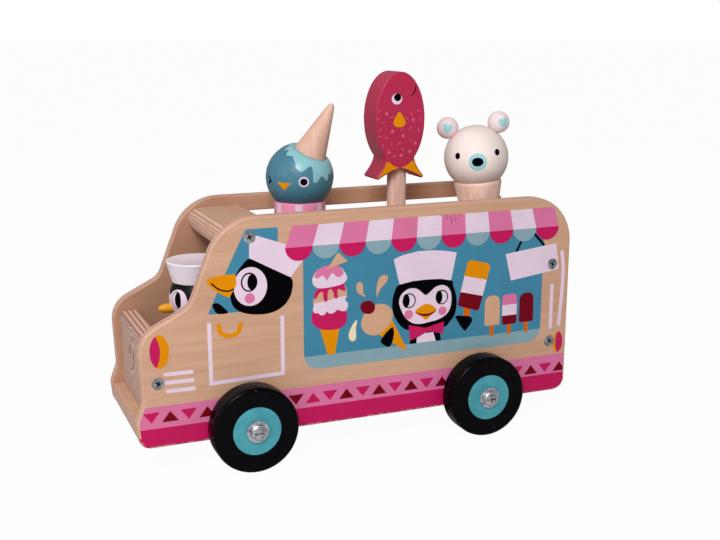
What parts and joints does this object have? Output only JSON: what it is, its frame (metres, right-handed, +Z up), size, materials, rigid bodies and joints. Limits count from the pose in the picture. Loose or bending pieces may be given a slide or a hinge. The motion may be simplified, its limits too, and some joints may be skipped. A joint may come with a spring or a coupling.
{
  "type": "toy ice cream truck",
  "caption": "Wooden toy ice cream truck with plywood sides, free-rolling wheels, a driver figure in an open cab and lift-out ice cream figures standing in a deck.",
  "frame": {"origin": "on the floor under the middle of the truck: the bottom centre of its box", "axes": "+X forward, +Y to the truck's left, +Z up"},
  "size_m": [0.2801, 0.1248, 0.2235],
  "materials": {
    "birch_ply": "clear matt lacquer over fine birch veneer",
    "beech": "bare sanded wood",
    "black_paint": "gloss black paint on wood",
    "zinc": "zinc-plated screws and washers",
    "white_paint": "satin white paint on wood",
    "orange_paint": "satin orange paint on wood",
    "pink_paint": "satin pink paint on wood",
    "blue_paint": "satin blue-grey paint on wood",
    "crimson_paint": "satin crimson paint on wood",
    "cream_paint": "matt cream paint on wood"
  },
  "bodies": {
    "truck": {"side_left": "birch_ply", "side_right": "birch_ply", "base_board": "beech", "front_block": "beech", "cab_roof": "birch_ply", "rear_wall": "birch_ply", "figure_deck": "birch_ply", "panel_screws_left": "zinc", "panel_screws_right": "zinc", "driver_body": "black_paint", "driver_head": "black_paint", "driver_hat": "white_paint", "driver_beak": "orange_paint", "axle_screw_front_left": "zinc", "washer_front_left": "zinc", "axle_screw_front_right": "zinc", "washer_front_right": "zinc", "axle_screw_rear_left": "zinc", "washer_rear_left": "zinc", "axle_screw_rear_right": "zinc", "washer_rear_right": "zinc"},
    "wheel_front_left": {"wheel_front_left": "black_paint"},
    "wheel_front_right": {"wheel_front_right": "black_paint"},
    "wheel_rear_left": {"wheel_rear_left": "black_paint"},
    "wheel_rear_right": {"wheel_rear_right": "black_paint"},
    "bird": {"bird_tub": "pink_paint", "bird_head": "blue_paint", "bird_cone": "beech"},
    "fish": {"fish_body": "crimson_paint", "fish_stick": "beech"},
    "bear": {"bear_cone": "beech", "bear_head": "cream_paint", "bear_ear_left": "cream_paint", "bear_ear_right": "cream_paint"}
  },
  "joints": [
    {"name": "wheel_front_left_spin", "type": "hinge", "parent": "truck", "child": "wheel_front_left", "pos_m": [0.075, 0.051, 0.0255], "axis": [0, 1, 0], "continuous": true},
    {"name": "wheel_front_right_spin", "type": "hinge", "parent": "truck", "child": "wheel_front_right", "pos_m": [0.075, -0.051, 0.0255], "axis": [0, 1, 0], "continuous": true},
    {"name": "wheel_rear_left_spin", "type": "hinge", "parent": "truck", "child": "wheel_rear_left", "pos_m": [-0.075, 0.051, 0.0255], "axis": [0, 1, 0], "continuous": true},
    {"name": "wheel_rear_right_spin", "type": "hinge", "parent": "truck", "child": "wheel_rear_right", "pos_m": [-0.075, -0.051, 0.0255], "axis": [0, 1, 0], "continuous": true},
    {"name": "bird_lift", "type": "slide", "parent": "truck", "child": "bird", "axis": [0, 0, 1], "range_m": [0, 0.055]},
    {"name": "fish_lift", "type": "slide", "parent": "truck", "child": "fish", "axis": [0, 0, 1], "range_m": [0, 0.055]},
    {"name": "bear_lift", "type": "slide", "parent": "truck", "child": "bear", "axis": [0.0958, 0, 0.9954], "range_m": [0, 0.055]}
  ]
}
